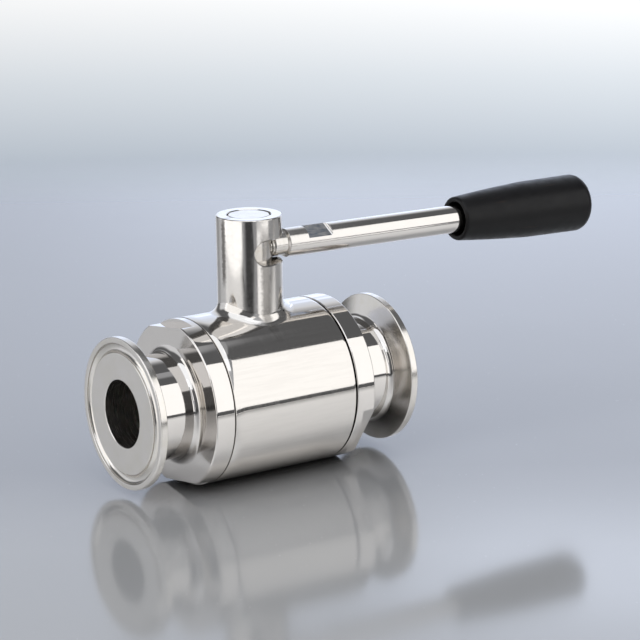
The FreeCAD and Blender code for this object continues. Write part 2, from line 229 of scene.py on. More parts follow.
def satin_steel(name, mark_lengths, roughness=0.27, base="C6C2BB", rings=False, cut=0.003):
    """Stainless steel, 316L or 304, fine turned, honed or milled and left without buffing.

    The eye gets an even, pale grey sheen with close tool lines, which run in rings on the ferrules'
    faces. Real feed lines are 0.05 mm apart and are drawn 0.3 to 0.8 mm apart so that they show.
    """
    material, tree = new_material(name)
    place = add(tree, "ShaderNodeTexCoord").outputs["Object"]
    grain = place
    if rings:
        off_axis = add(tree, "ShaderNodeVectorMath", {0: place, 1: (0.0, 1.0, 1.0)}, operation="MULTIPLY")
        radius = add(tree, "ShaderNodeVectorMath", {0: off_axis}, operation="LENGTH")
        along = add(tree, "ShaderNodeSeparateXYZ", {0: place}).outputs["X"]
        grain = add(tree, "ShaderNodeCombineXYZ", {"X": along, "Y": radius.outputs["Value"]})
    lines_place = add(tree, "ShaderNodeMapping", {"Vector": grain, "Scale": per_mm(*mark_lengths)})
    lines = add(tree, "ShaderNodeTexNoise", {"Vector": lines_place, "Scale": 1.0, "Detail": 4.0,
                                             "Roughness": 0.7})
    stain = add(tree, "ShaderNodeTexNoise", {"Vector": place, "Scale": per_mm(4)[0], "Detail": 5.0,
                                             "Roughness": 0.6})
    relief = carved(tree, lines, cut)
    dull = add(tree, "ShaderNodeMapRange", {"Value": lines, "From Min": 0.3, "From Max": 0.7,
                                            "To Min": roughness - 0.05, "To Max": roughness + 0.06})
    both = add(tree, "ShaderNodeMath", {0: stain, 1: lines}, operation="ADD")
    pale = add(tree, "ShaderNodeMapRange", {"Value": both, "From Min": 0.8, "From Max": 1.2})
    tint = add(tree, "ShaderNodeMix", {"Factor": pale, MIX_A: linear(base), MIX_B: linear("D1CDC9")},
               data_type="RGBA")
    steel = add(tree, "ShaderNodeBsdfPrincipled", {"Base Color": tint.outputs[MIX_RESULT], "Metallic": 1.0,
                                                   "Roughness": dull, "Normal": relief})
    add(tree, "ShaderNodeOutputMaterial", {"Surface": steel})
    return material


def body_steel():
    """Stainless steel 316L of the body: buffed barrel, and a neck dressed lengthways by a belt.

    The eye gets the mirror of the barrel with streaks round it, and on the neck fine upright lines
    that smear its reflections sideways, faint mottling and two ragged dark belt marks. Polish dried
    dark in the seam on the inlet side, and wiping left long faint smears on the barrel.
    """
    material, tree = new_material("cast_316l_buffed_body")
    place = add(tree, "ShaderNodeTexCoord").outputs["Object"]
    parts = add(tree, "ShaderNodeSeparateXYZ", {0: place}).outputs
    slow = add(tree, "ShaderNodeTexNoise", {"Vector": place, "Scale": per_mm(19)[0], "Detail": 1.0})
    round_place = add(tree, "ShaderNodeMapping", {"Vector": place, "Scale": per_mm(0.4, 9, 9)})
    round_marks = add(tree, "ShaderNodeTexNoise", {"Vector": round_place, "Scale": 1.0, "Detail": 3.0,
                                                   "Roughness": 0.65})
    up_place = add(tree, "ShaderNodeMapping", {"Vector": place, "Scale": per_mm(0.5, 0.5, 26)})
    up_marks = add(tree, "ShaderNodeTexNoise", {"Vector": up_place, "Scale": 1.0, "Detail": 3.0,
                                                "Roughness": 0.6})
    mottle = add(tree, "ShaderNodeTexNoise", {"Vector": place, "Scale": per_mm(2.2)[0], "Detail": 4.0,
                                              "Roughness": 0.65})
    flat_place = add(tree, "ShaderNodeVectorMath", {0: place, 1: (1.0, 1.0, 0.0)}, operation="MULTIPLY")
    off_stem = add(tree, "ShaderNodeVectorMath", {0: flat_place}, operation="LENGTH").outputs["Value"]
    close = add(tree, "ShaderNodeMapRange", {"Value": off_stem, "From Min": (neck_radius + 6) * mm,
                                             "From Max": (neck_radius + 1) * mm})
    upper = add(tree, "ShaderNodeMath", {0: parts["Z"], 1: 10 * mm}, operation="GREATER_THAN")
    on_neck = add(tree, "ShaderNodeMath", {0: close, 1: upper}, operation="MULTIPLY")

    # Two ragged upright belt marks: one where the neck faces the inlet, one under the lever slot
    ragged_place = add(tree, "ShaderNodeMapping", {"Vector": place, "Scale": per_mm(1.5, 1.5, 0.5)})
    ragged = add(tree, "ShaderNodeTexNoise", {"Vector": ragged_place, "Scale": 1.0, "Detail": 3.0})
    marks = []
    for across, centre, half_width, strength, facing, low, high in (
            ("Y", belt_mark_y, 2.0, 0.8, "X", 36, 62), ("X", slot_mark_x, 3.0, 0.6, "Y", 20, 58)):
        aside = add(tree, "ShaderNodeMath", {0: parts[across], 1: centre * mm}, operation="SUBTRACT")
        beside = add(tree, "ShaderNodeMath", {0: aside}, operation="ABSOLUTE")
        frayed = add(tree, "ShaderNodeMath", {0: ragged, 1: 1.6 * mm, 2: beside}, operation="MULTIPLY_ADD")
        stripe = add(tree, "ShaderNodeMapRange", {"Value": frayed, "From Min": half_width * mm,
                                                  "From Max": 0.6 * half_width * mm, "To Max": strength})
        climb = add(tree, "ShaderNodeMath", {0: parts["Z"], 1: (low + high) / 2 * mm}, operation="SUBTRACT")
        off_middle = add(tree, "ShaderNodeMath", {0: climb}, operation="ABSOLUTE")
        length = add(tree, "ShaderNodeMapRange", {"Value": off_middle, "From Min": (high - low) / 2 * mm,
                                                  "From Max": (high - low) / 3 * mm})
        seen_side = add(tree, "ShaderNodeMath", {0: parts[facing], 1: -5 * mm}, operation="LESS_THAN")
        share = add(tree, "ShaderNodeMath", {0: stripe, 1: length}, operation="MULTIPLY")
        marks.append(add(tree, "ShaderNodeMath", {0: share, 1: seen_side}, operation="MULTIPLY"))
    belt = add(tree, "ShaderNodeMath", {0: marks[0], 1: marks[1]}, operation="ADD")

    # Polish dried dark at the inlet seam, and long smears where the barrel was wiped
    polish = within(tree, parts["X"], (inlet_seam - 1) * mm, (inlet_seam + 0.25) * mm, 0.12 * mm)
    marked = add(tree, "ShaderNodeMath", {0: belt, 1: polish}, operation="MAXIMUM")
    smears_place = add(tree, "ShaderNodeMapping", {"Vector": place, "Scale": per_mm(16, 1.2, 1.2)})
    smears = add(tree, "ShaderNodeTexNoise", {"Vector": smears_place, "Scale": 1.0, "Detail": 4.0,
                                              "Roughness": 0.65})
    wiped = add(tree, "ShaderNodeMapRange", {"Value": smears, "From Min": 0.4, "From Max": 0.65})
    skin = add(tree, "ShaderNodeMix", {"Factor": wiped, MIX_A: linear("CDC9C4"), MIX_B: linear("C9C5C0")},
               data_type="RGBA")

    # Relief: a slow wave, buffing lines round the barrel or up the neck, and the barrel's rolled ends
    wave = add(tree, "ShaderNodeMath", {0: slow, 1: 0.04 * mm}, operation="MULTIPLY")
    lines = add(tree, "ShaderNodeMix", {0: on_neck, MIX_LOW: round_marks, MIX_HIGH: up_marks})
    line_depth = add(tree, "ShaderNodeMapRange", {"Value": on_neck, "To Min": 0.0005 * mm,
                                                  "To Max": 0.003 * mm})
    with_lines = add(tree, "ShaderNodeMath", {0: lines, 1: line_depth, 2: wave}, operation="MULTIPLY_ADD")
    below_neck = add(tree, "ShaderNodeMath", {0: 1.0, 1: on_neck}, operation="SUBTRACT")
    rolled = rolled_ends(tree, parts["X"])
    roll = add(tree, "ShaderNodeMath", {0: rolled, 1: below_neck}, operation="MULTIPLY")
    height = add(tree, "ShaderNodeMath", {0: with_lines, 1: roll}, operation="SUBTRACT")
    relief = add(tree, "ShaderNodeBump", {"Height": height, "Distance": 1.0, "Strength": 1.0})

    barrel_dull = add(tree, "ShaderNodeMapRange", {"Value": round_marks, "From Min": 0.4, "From Max": 0.8,
                                                   "To Min": 0.04, "To Max": 0.13})
    neck_dull = add(tree, "ShaderNodeMapRange", {"Value": mottle, "From Min": 0.4, "From Max": 0.7,
                                                 "To Min": 0.08, "To Max": 0.16})
    dull = add(tree, "ShaderNodeMix", {0: on_neck, MIX_LOW: barrel_dull, MIX_HIGH: neck_dull})
    dull_marked = add(tree, "ShaderNodeMath", {0: marked, 1: 0.2, 2: dull}, operation="MULTIPLY_ADD")
    sideways = add(tree, "ShaderNodeMath", {0: on_neck, 1: 0.75}, operation="MULTIPLY")
    round_neck = add(tree, "ShaderNodeTangent", direction_type="RADIAL", axis="Z")
    tint = add(tree, "ShaderNodeMix", {"Factor": marked, MIX_A: skin.outputs[MIX_RESULT],
                                       MIX_B: linear("4A4641")}, data_type="RGBA")
    steel = add(tree, "ShaderNodeBsdfPrincipled", {"Base Color": tint.outputs[MIX_RESULT], "Metallic": 1.0,
                                                   "Roughness": dull_marked, "Normal": relief,
                                                   "Anisotropic": sideways, "Tangent": round_neck})
    add(tree, "ShaderNodeOutputMaterial", {"Surface": steel})
    return material


def phenolic_black():
    """Black phenolic, compression moulded and tumbled.

    The eye gets a soft satin black with a faint orange peel, a mottled gloss and a few pale rub
    marks.
    """
    material, tree = new_material("phenolic_moulded_black")
    place = add(tree, "ShaderNodeTexCoord").outputs["Object"]
    peel = add(tree, "ShaderNodeTexNoise", {"Vector": place, "Scale": per_mm(0.9)[0], "Detail": 2.0})
    mottle = add(tree, "ShaderNodeTexNoise", {"Vector": place, "Scale": per_mm(3.5)[0], "Detail": 4.0,
                                              "Roughness": 0.65})
    rub_place = add(tree, "ShaderNodeMapping", {"Vector": place, "Scale": per_mm(9, 1.1, 1.1)})
    rubs = add(tree, "ShaderNodeTexNoise", {"Vector": rub_place, "Scale": 1.0, "Detail": 3.0})
    rubbed = add(tree, "ShaderNodeMapRange", {"Value": rubs, "From Min": 0.66, "From Max": 0.74})
    relief = carved(tree, peel, 0.012)
    gloss = add(tree, "ShaderNodeMapRange", {"Value": mottle, "From Min": 0.3, "From Max": 0.7,
                                             "To Min": 0.30, "To Max": 0.5})
    tint = add(tree, "ShaderNodeMix", {"Factor": rubbed, MIX_A: linear("0D0C0D"), MIX_B: linear("1D1612")},
               data_type="RGBA")
    resin = add(tree, "ShaderNodeBsdfPrincipled", {"Base Color": tint.outputs[MIX_RESULT],
                                                   "Roughness": gloss, "Specular IOR Level": 0.2,
                                                   "Normal": relief})
    add(tree, "ShaderNodeOutputMaterial", {"Surface": resin})
    return material


def turned_ptfe():
    """White PTFE, turned from rod: a waxy white with close lathe lines and a little depth."""
    material, tree = new_material("ptfe_turned_white")
    place = add(tree, "ShaderNodeTexCoord").outputs["Object"]
    cloud = add(tree, "ShaderNodeTexNoise", {"Vector": place, "Scale": per_mm(5)[0], "Detail": 3.0})
    lathe_place = add(tree, "ShaderNodeMapping", {"Vector": place, "Scale": per_mm(0.25, 6, 6)})
    lathe = add(tree, "ShaderNodeTexNoise", {"Vector": lathe_place, "Scale": 1.0, "Detail": 2.0})
    relief = carved(tree, lathe, 0.006)
    tint = add(tree, "ShaderNodeMix", {"Factor": cloud, MIX_A: linear("EDEDE8"), MIX_B: linear("E2E1DA")},
               data_type="RGBA")
    wax = add(tree, "ShaderNodeBsdfPrincipled", {"Base Color": tint.outputs[MIX_RESULT], "Roughness": 0.42,
                                                 "IOR": 1.36, "Subsurface Weight": 0.15,
                                                 "Subsurface Scale": 0.8 * mm, "Normal": relief})
    add(tree, "ShaderNodeOutputMaterial", {"Surface": wax})
    return material


def moulded_fkm():
    """Black fluorocarbon rubber, press moulded: matt black with a bloom that greys it in places."""
    material, tree = new_material("fkm_moulded_black")
    place = add(tree, "ShaderNodeTexCoord").outputs["Object"]
    bloom = add(tree, "ShaderNodeTexNoise", {"Vector": place, "Scale": per_mm(2.5)[0], "Detail": 4.0})
    grain = add(tree, "ShaderNodeTexNoise", {"Vector": place, "Scale": per_mm(0.3)[0], "Detail": 2.0})
    relief = carved(tree, grain, 0.008)
    tint = add(tree, "ShaderNodeMix", {"Factor": bloom, MIX_A: linear("131313"), MIX_B: linear("2B2B2A")},
               data_type="RGBA")
    rubber = add(tree, "ShaderNodeBsdfPrincipled", {"Base Color": tint.outputs[MIX_RESULT],
                                                    "Roughness": 0.62, "IOR": 1.4, "Normal": relief})
    add(tree, "ShaderNodeOutputMaterial", {"Surface": rubber})
    return material


def turned_brass():
    """Free-cutting brass, turned: warm yellow metal with tool lines, dulled by the moulding heat."""
    material, tree = new_material("brass_turned")
    place = add(tree, "ShaderNodeTexCoord").outputs["Object"]
    lines_place = add(tree, "ShaderNodeMapping", {"Vector": place, "Scale": per_mm(0.3, 8, 8)})
    lines = add(tree, "ShaderNodeTexNoise", {"Vector": lines_place, "Scale": 1.0, "Detail": 3.0})
    tarnish = add(tree, "ShaderNodeTexNoise", {"Vector": place, "Scale": per_mm(3)[0], "Detail": 4.0})
    relief = carved(tree, lines, 0.004)
    tint = add(tree, "ShaderNodeMix", {"Factor": tarnish, MIX_A: linear("D9B45F"), MIX_B: linear("A8853E")},
               data_type="RGBA")
    brass = add(tree, "ShaderNodeBsdfPrincipled", {"Base Color": tint.outputs[MIX_RESULT], "Metallic": 1.0,
                                                   "Roughness": 0.28, "Normal": relief})
    add(tree, "ShaderNodeOutputMaterial", {"Surface": brass})
    return material


cap_steel = mirror_steel("turned_316l_buffed_cap", (0.4, 10, 10))
flange_steel = mirror_steel("faced_316l_buffed_flange", (30, 0.6, 0.6), roughness=0.08)
lever_steel = mirror_steel("drawn_304_buffed_lever", (0.45, 8, 8), roughness=0.05, waviness=0.012,
                           dull_start=0.14)
ball_steel = mirror_steel("ground_316l_lapped_ball", (7, 0.4, 7), waviness=0.004)
stem_steel = satin_steel("turned_316l_stem", (9, 9, 0.3), roughness=0.2, base="C3BCB1")
shank_steel = satin_steel("turned_304_shank", (0.3, 9, 9), roughness=0.22)
ferrule_steel = satin_steel("turned_316l_ferrule", (0.3, 0.3, 1), roughness=0.17, base="CCC8C0", rings=True,
                            cut=0.001)
bore_steel = satin_steel("honed_316l_bore", (0.35, 12, 12), roughness=0.24, base="A9A7A3", cut=0.001)
flat_steel = satin_steel("milled_304_wrench_flat", (5, 0.8, 0.8), roughness=0.33, base="7F8996", cut=0.03)
cast_steel = body_steel()
grip_resin = phenolic_black()
ptfe = turned_ptfe()
fkm = moulded_fkm()
brass = turned_brass()


def rounded(corners):
    """Polyline from (along, radius, edge radius) corners; each edge radius becomes a tangent arc."""
    points = []
    count = len(corners)
    for i, (along, radius, edge) in enumerate(corners):
        here = Vector((along, radius))
        before, after = corners[i - 1], corners[(i + 1) % count]
        to_before, to_after = Vector(before[:2]) - here, Vector(after[:2]) - here
        if edge == 0 or to_before.length == 0 or to_after.length == 0:
            points.append(here)
            continue
        inside = to_before.angle(to_after)
        reach = min(edge / tan(inside / 2), 0.48 * to_before.length, 0.48 * to_after.length)
        edge = reach * tan(inside / 2)
        middle = (to_before.normalized() + to_after.normalized()).normalized()
        centre = here + middle * (edge / sin(inside / 2))
        start = here + to_before.normalized() * reach - centre
        end = here + to_after.normalized() * reach - centre
        turn = start.angle_signed(end)
        steps = max(2, ceil(abs(turn) / radians(9)))
        for step in range(steps + 1):
            points.append(centre + Matrix.Rotation(-turn * step / steps, 2) @ start)
    return points


def arc(centre, radius, from_deg, to_deg, steps=14):
    """Corners along an arc, from one angle to another in an outline's own plane."""
    angles = [radians(from_deg + (to_deg - from_deg) * step / steps) for step in range(steps + 1)]
    return [(centre[0] + radius * cos(angle), centre[1] + radius * sin(angle), 0) for angle in angles]


def turning_tree():
    """Node tree that turns an outline, drawn as (along, radius) in XY, about the X axis.

    It also cuts a rolled thread between two stations, leans the piece about the foot of its axis
    and lifts it to its height.
    """
    tree = bpy.data.node_groups.new("turned_piece", "GeometryNodeTree")
    face = tree.interface
    face.new_socket("Outline", in_out="INPUT", socket_type="NodeSocketGeometry")
    for name, kind in (("Steps", "Int"), ("Side", "Float"), ("Height", "Float"), ("Droop", "Float"),
                       ("Thread Start", "Float"), ("Thread End", "Float"), ("Pitch", "Float"),
                       ("Thread Depth", "Float"), ("Material", "Material")):
        face.new_socket(name, in_out="INPUT", socket_type="NodeSocket" + kind)
    face.new_socket("Piece", in_out="OUTPUT", socket_type="NodeSocketGeometry")
    given = add(tree, "NodeGroupInput").outputs

    # The outline's radius is measured from the ring that it is swept along
    ring_radius = 10 * mm
    drawn = add(tree, "GeometryNodeInputPosition")
    drawn_parts = add(tree, "ShaderNodeSeparateXYZ", {0: drawn}).outputs
    out_from_ring = add(tree, "ShaderNodeMath", {0: drawn_parts["Y"], 1: ring_radius}, operation="SUBTRACT")
    down = add(tree, "ShaderNodeMath", {0: drawn_parts["X"], 1: -1.0}, operation="MULTIPLY")
    section = add(tree, "ShaderNodeCombineXYZ", {"X": out_from_ring, "Y": down})
    laid = add(tree, "GeometryNodeSetPosition", {"Geometry": given["Outline"], "Position": section})
    profile = add(tree, "GeometryNodeMeshToCurve", {"Mesh": laid})
    ring = add(tree, "GeometryNodeCurvePrimitiveCircle", {"Resolution": given["Steps"],
                                                          "Radius": ring_radius})
    swept = add(tree, "GeometryNodeCurveToMesh", {"Curve": ring, "Profile Curve": profile})
    closed = add(tree, "GeometryNodeMergeByDistance", {"Geometry": swept, "Distance": 0.00001 * mm})

    # Thread: the radius falls with the distance from the nearest crest, which climbs once a turn
    here = add(tree, "GeometryNodeInputPosition")
    parts = add(tree, "ShaderNodeSeparateXYZ", {0: here}).outputs
    angle = add(tree, "ShaderNodeMath", {0: parts["Y"], 1: parts["X"]}, operation="ARCTAN2")
    turns = add(tree, "ShaderNodeMath", {0: angle, 1: 2 * pi}, operation="DIVIDE")
    climbed = add(tree, "ShaderNodeMath", {0: parts["Z"], 1: given["Pitch"]}, operation="DIVIDE")
    phase = add(tree, "ShaderNodeMath", {0: climbed, 1: turns}, operation="SUBTRACT")
    from_crest = add(tree, "ShaderNodeMath", {0: phase, 1: 0.5}, operation="PINGPONG")
    into = add(tree, "ShaderNodeMapRange", {"Value": from_crest, "From Min": 0.09, "From Max": 0.42})
    run_in = add(tree, "ShaderNodeMath", {0: given["Thread Start"], 1: given["Pitch"]}, operation="ADD")
    run_out = add(tree, "ShaderNodeMath", {0: given["Thread End"], 1: given["Pitch"]}, operation="SUBTRACT")
    starts = add(tree, "ShaderNodeMapRange", {"Value": parts["Z"], "From Min": given["Thread Start"],
                                              "From Max": run_in})
    ends = add(tree, "ShaderNodeMapRange", {"Value": parts["Z"], "From Min": given["Thread End"],
                                            "From Max": run_out})
    window = add(tree, "ShaderNodeMath", {0: starts, 1: ends}, operation="MULTIPLY")
    cut = add(tree, "ShaderNodeMath", {0: into, 1: window}, operation="MULTIPLY")
    depth = add(tree, "ShaderNodeMath", {0: cut, 1: given["Thread Depth"]}, operation="MULTIPLY")
    flat = add(tree, "ShaderNodeVectorMath", {0: here, 1: (1.0, 1.0, 0.0)}, operation="MULTIPLY")
    outward = add(tree, "ShaderNodeVectorMath", {0: flat}, operation="NORMALIZE")
    inward = add(tree, "ShaderNodeMath", {0: depth, 1: -1.0}, operation="MULTIPLY")
    sunk = add(tree, "ShaderNodeVectorMath", {0: outward, "Scale": inward}, operation="SCALE")
    threaded = add(tree, "GeometryNodeSetPosition", {"Geometry": closed, "Offset": sunk})

    # The ring's axis becomes the X axis, towards the inlet or the outlet
    on_x = add(tree, "GeometryNodeTransform", {"Geometry": threaded, "Rotation": (0.0, pi / 2, 0.0)})
    sided = add(tree, "ShaderNodeCombineXYZ", {"X": given["Side"], "Y": 1.0, "Z": 1.0})
    mirrored = add(tree, "GeometryNodeTransform", {"Geometry": on_x, "Scale": sided})
    lean = add(tree, "ShaderNodeCombineXYZ", {"Y": given["Droop"]})
    lift = add(tree, "ShaderNodeCombineXYZ", {"Z": given["Height"]})
    placed = add(tree, "GeometryNodeTransform", {"Geometry": mirrored, "Rotation": lean,
                                                 "Translation": lift})
    real = add(tree, "GeometryNodeRealizeInstances", {"Geometry": placed})
    dressed = add(tree, "GeometryNodeSetMaterial", {"Geometry": real, "Material": given["Material"]})
    add(tree, "NodeGroupOutput", {"Piece": dressed})
    return tree


turning = turning_tree()


def make_plain(piece):
    """Replaces a piece's modifiers by the mesh that they give."""
    graph = bpy.context.evaluated_depsgraph_get()
    shaped = piece.evaluated_get(graph)
    mesh = bpy.data.meshes.new_from_object(shaped, preserve_all_data_layers=True, depsgraph=graph)
    piece.modifiers.clear()
    piece.data = mesh


def mesh_object(name, vertices, edges, faces):
    """New object from mesh data, linked to the scene."""
    mesh = bpy.data.meshes.new(name)
    mesh.from_pydata(vertices, edges, faces)
    piece = bpy.data.objects.new(name, mesh)
    scene.collection.objects.link(piece)
    return piece


def recalculate(mesh):
    """Merges doubles and points every face outwards."""
    work = bmesh.new()
    work.from_mesh(mesh)
    bmesh.ops.remove_doubles(work, verts=work.verts, dist=0.00002 * mm)
    bmesh.ops.recalc_face_normals(work, faces=work.faces)
    work.to_mesh(mesh)
    work.free()


def turned(name, corners, material, closed=False, **inputs):
    """Piece turned by the node tree from the corners of its outline."""
    points = [(point.x * mm, point.y * mm, 0) for point in rounded(corners)]
    joins = [(i, i + 1) for i in range(len(points) - 1)]
    if closed:
        joins.append((len(points) - 1, 0))
    piece = mesh_object(name, points, joins, [])
    modifier = piece.modifiers.new("turning", "NODES")
    modifier.node_group = turning
    values = {"Steps": turning_steps, "Side": 1.0, "Height": 0.0, "Droop": 0.0, "Thread Start": 0.0,
              "Thread End": 0.0, "Pitch": thread_pitch * mm, "Thread Depth": 0.0, "Material": material}
    values.update(inputs)
    for socket in turning.interface.items_tree:
        if socket.in_out == "INPUT" and socket.name in values:
            modifier[socket.identifier] = values[socket.name]
    make_plain(piece)
    recalculate(piece.data)
    return piece


def cut_flat(piece, outline, length, turn_deg, height, droop):
    """Cuts a block away: outline in the XZ plane, drawn out along Y and turned about the X axis."""
    half = length / 2
    count = len(outline)
    vertices = [(x * mm, side * half * mm, z * mm) for side in (-1, 1) for x, z in outline]
    faces = [tuple(range(count)), tuple(reversed(range(count, 2 * count)))]
    faces += [(i, i + count, (i + 1) % count + count, (i + 1) % count) for i in range(count)]
    cutter = mesh_object("cutter", vertices, [], faces)
    lean = Matrix.Translation((0, 0, height * mm)) @ Matrix.Rotation(droop, 4, "Y")
    cutter.data.transform(lean @ Matrix.Rotation(radians(90 - turn_deg), 4, "X"))
    recalculate(cutter.data)
    cut = piece.modifiers.new("flat", "BOOLEAN")
    cut.operation, cut.solver, cut.object = "DIFFERENCE", "EXACT", cutter
    make_plain(piece)
    bpy.data.objects.remove(cutter)


def finish_surface(piece):
    """Outward faces, smooth shading between sharp edges, and normals that follow the larger faces."""
    recalculate(piece.data)
    piece.data.shade_smooth()
    piece.data.set_sharp_from_angle(angle=radians(sharp_deg))
    weigh = piece.modifiers.new("weigh", "WEIGHTED_NORMAL")
    weigh.mode, weigh.weight, weigh.keep_sharp = "FACE_AREA", 60, True
    make_plain(piece)


def dress(piece, material, wanted):
    """Gives a further material to the faces that a test picks by their centre and normal."""
    piece.data.materials.append(material)
    index = len(piece.data.materials) - 1
    for face in piece.data.polygons:
        if wanted(face.center / mm, face.normal):
            face.material_index = index


def end_cap(name, side, flats_deg):
    """Screwed end cap, turned from its outline, with two milled flats."""
    bevel = radians(bevel_deg)
    rim_inner = end_face - rim_thickness
    bevel_foot = rim_inner - (ferrule_radius - tube_radius) * tan(bevel)
    groove = (end_face, ferrule_radius - groove_inset)
    piece = turned(name, [
        (spigot_end, seat_recess, broken_edge),
        (spigot_end, spigot_radius - spigot_chamfer, sharp_edge),
        (spigot_end + spigot_chamfer, spigot_radius, sharp_edge),
        (flange_inner - relief_width, spigot_radius, sharp_edge),
        (flange_inner - relief_width, spigot_radius - relief_depth, root_round),
        (flange_inner, spigot_radius - relief_depth, root_round),
        (flange_inner, barrel_radius, flange_seam_edge),
        (flange_outer, barrel_radius, flange_face_edge),
        (flange_outer, tube_radius, flange_fillet),
        (bevel_foot, tube_radius, bevel_fillet),
        (rim_inner, ferrule_radius, rim_round),
        (end_face, ferrule_radius, rim_round),
        (end_face, groove[1] + groove_radius, groove_lip),
        *arc(groove, groove_radius, 106, 254),
        (end_face, groove[1] - groove_radius, groove_lip),
        (end_face, bore_radius, bore_edge),
        (seat_back, bore_radius, broken_edge),
        (seat_back, backing_groove_inner, broken_edge),
        (seat_back + backing_groove_depth, backing_groove_inner, root_round),
        (seat_back + backing_groove_depth, backing_groove_outer, root_round),
        (seat_back, backing_groove_outer, broken_edge),
        (seat_back, seat_recess, broken_edge),
    ], cap_steel, closed=True, Side=float(side))
    floor, top = barrel_radius - flat_depth, barrel_radius + 1
    near, far = side * (flange_outer - flat_length), side * (flange_outer + 1)
    block = [(near, floor), (far, floor), (far, top), (near, top)]
    for turn in (0, 180):
        cut_flat(piece, block, 2 * barrel_radius, flats_deg + turn, 0, 0)
    finish_surface(piece)
    cone_start = tube_radius + 0.75 * bevel_fillet
    dress(piece, ferrule_steel, lambda at, normal: abs(at.x) > bevel_foot and at.yz.length > cone_start
          or abs(at.x) > end_face - 0.01)
    dress(piece, flange_steel, lambda at, normal: at.yz.length > tube_radius + 0.15
          and flange_outer - 0.01 < abs(at.x) < flange_outer + flange_fillet and abs(normal.x) > 0.3)
    dress(piece, bore_steel, lambda at, normal: at.yz.length < bore_radius + 0.02)
    return piece


def lever_rod():
    """Lever bar with its rolled thread, chamfered shoulder and two wrench flats."""
    first_turn = -thread_length_inside + thread_chamfer + broken_edge
    turn_step = thread_pitch / 10
    thread_turns = [(first_turn + step * turn_step, thread_radius, 0)
                    for step in range(int((thread_end - first_turn) / turn_step) - 1)]
    droop = radians(lever_droop_deg)
    piece = turned("lever_rod_bar", [
        (-thread_length_inside, 0, 0),
        (-thread_length_inside, thread_radius - thread_chamfer, broken_edge),
        *thread_turns,
        (lever_shoulder, thread_radius, broken_edge),
        (lever_shoulder, rod_radius - rod_edge, sharp_edge),
        (lever_shoulder + rod_edge, rod_radius, broken_edge),
        (insert_start, rod_radius, broken_edge),
        (insert_start, thread_radius, broken_edge),
        (insert_end - thread_chamfer, thread_radius, broken_edge),
        (insert_end, thread_radius - thread_chamfer, broken_edge),
        (insert_end, 0, 0),
    ], lever_steel, Height=lever_height * mm, Droop=droop,
        **{"Thread Start": -thread_length_inside * mm, "Thread End": thread_end * mm,
           "Thread Depth": thread_relief * mm})
    floor, top = rod_radius - wrench_flat_depth, rod_radius + 1
    run_out = (wrench_flat_end - wrench_flat_run_out, floor + wrench_flat_run_out)
    outline = [(wrench_flat_start, top), (wrench_flat_start, floor)]
    outline += [corner[:2] for corner in arc(run_out, wrench_flat_run_out, -90, 0, 8)]
    outline += [(wrench_flat_end, top)]
    for turn in (0, 180):
        cut_flat(piece, outline, 4 * rod_radius, wrench_flat_deg + turn, lever_height, droop)
    finish_surface(piece)
    dress(piece, shank_steel, lambda at, normal: at.x < lever_shoulder + rod_edge)
    upward = Vector((0, -cos(radians(wrench_flat_deg)), sin(radians(wrench_flat_deg))))
    dress(piece, flat_steel, lambda at, normal: abs(normal.dot(upward)) > 0.99
          and wrench_flat_start < at.x < wrench_flat_end
          and abs(abs((at - Vector((0, 0, lever_height - at.x * tan(droop)))).dot(upward)) - floor) < 0.1)
    return piece


def lever_grip():
    """Moulded grip with a rolled lip, hollow mouth, swelling side and crowned end."""
    half_lip = grip_lip / 2
    lip = (grip_start + half_lip, grip_mouth_radius + half_lip)
    swell_start, swell_end = (lip[0], lip[1] + half_lip), (grip_start + grip_swell_length, grip_radius)
    rise = swell_end[1] - swell_start[1]
    swell = []
    for step in range(1, 24):
        share = step / 24
        bulge = 4 * (grip_swell_fullness - 0.5) * share * (1 - share)
        along = swell_start[0] + share * (swell_end[0] - swell_start[0])
        swell.append((along, swell_start[1] + rise * (share + bulge), 0))
    crown = []
    crown_foot = grip_end_radius - grip_corner
    for step in range(1, 13):
        radius = crown_foot * (1 - step / 12)
        crown.append((grip_tip - grip_crown * (radius / crown_foot) ** 2, radius, 0))
    corner = (grip_tip - grip_crown - grip_corner, crown_foot)
    rod_hole = rod_radius + grip_clearance
    piece = turned("lever_grip_moulding", [
        (insert_end, 0, 0),
        (insert_end, insert_radius, 0),
        (insert_start, insert_radius, 0),
        (insert_start, rod_hole, 0),
        (grip_start + grip_mouth_depth + grip_mouth_radius - rod_hole, rod_hole, 0.3),
        (grip_start + grip_mouth_depth, grip_mouth_radius, 0.6),
        *arc(lip, half_lip, -90, -270, 12),
        *swell,
        (*swell_end, 0),
        *arc(corner, grip_corner, 90, 0, 12),
        *crown,
    ], grip_resin, Height=lever_height * mm, Droop=radians(lever_droop_deg))
    finish_surface(piece)
    return piece


visual = {
    "inlet_end_cap": end_cap("inlet_end_cap_turning", -1, inlet_flats_deg),
    "outlet_end_cap": end_cap("outlet_end_cap_turning", 1, outlet_flats_deg),
    "lever_rod": lever_rod(),
    "lever_grip": lever_grip(),
}
for node, piece in visual.items():
    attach(piece, "stem_and_lever" if node.startswith("lever") else "valve")
    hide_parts(node)

# Finishes of the pieces that stay as the frame has them
finishes = {
    "valve_body": cast_steel,
    "stem": stem_steel,
    "ball": ball_steel,
    "grip_insert": brass,
}
for node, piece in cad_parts.items():
    if node in visual:
        continue
    finish = finishes.get(node, fkm if "o_ring" in node else ptfe)
    for material_slot in piece.material_slots:
        material_slot.material = finish

# The photographer's place, in metres from the ball's centre, and the way the camera looks
camera_place = Vector((-0.45457, -0.72515, 0.24500))
camera_yaw, camera_pitch, camera_roll = radians(56.38), radians(14.521), radians(-0.811)
camera_lens = 149.63

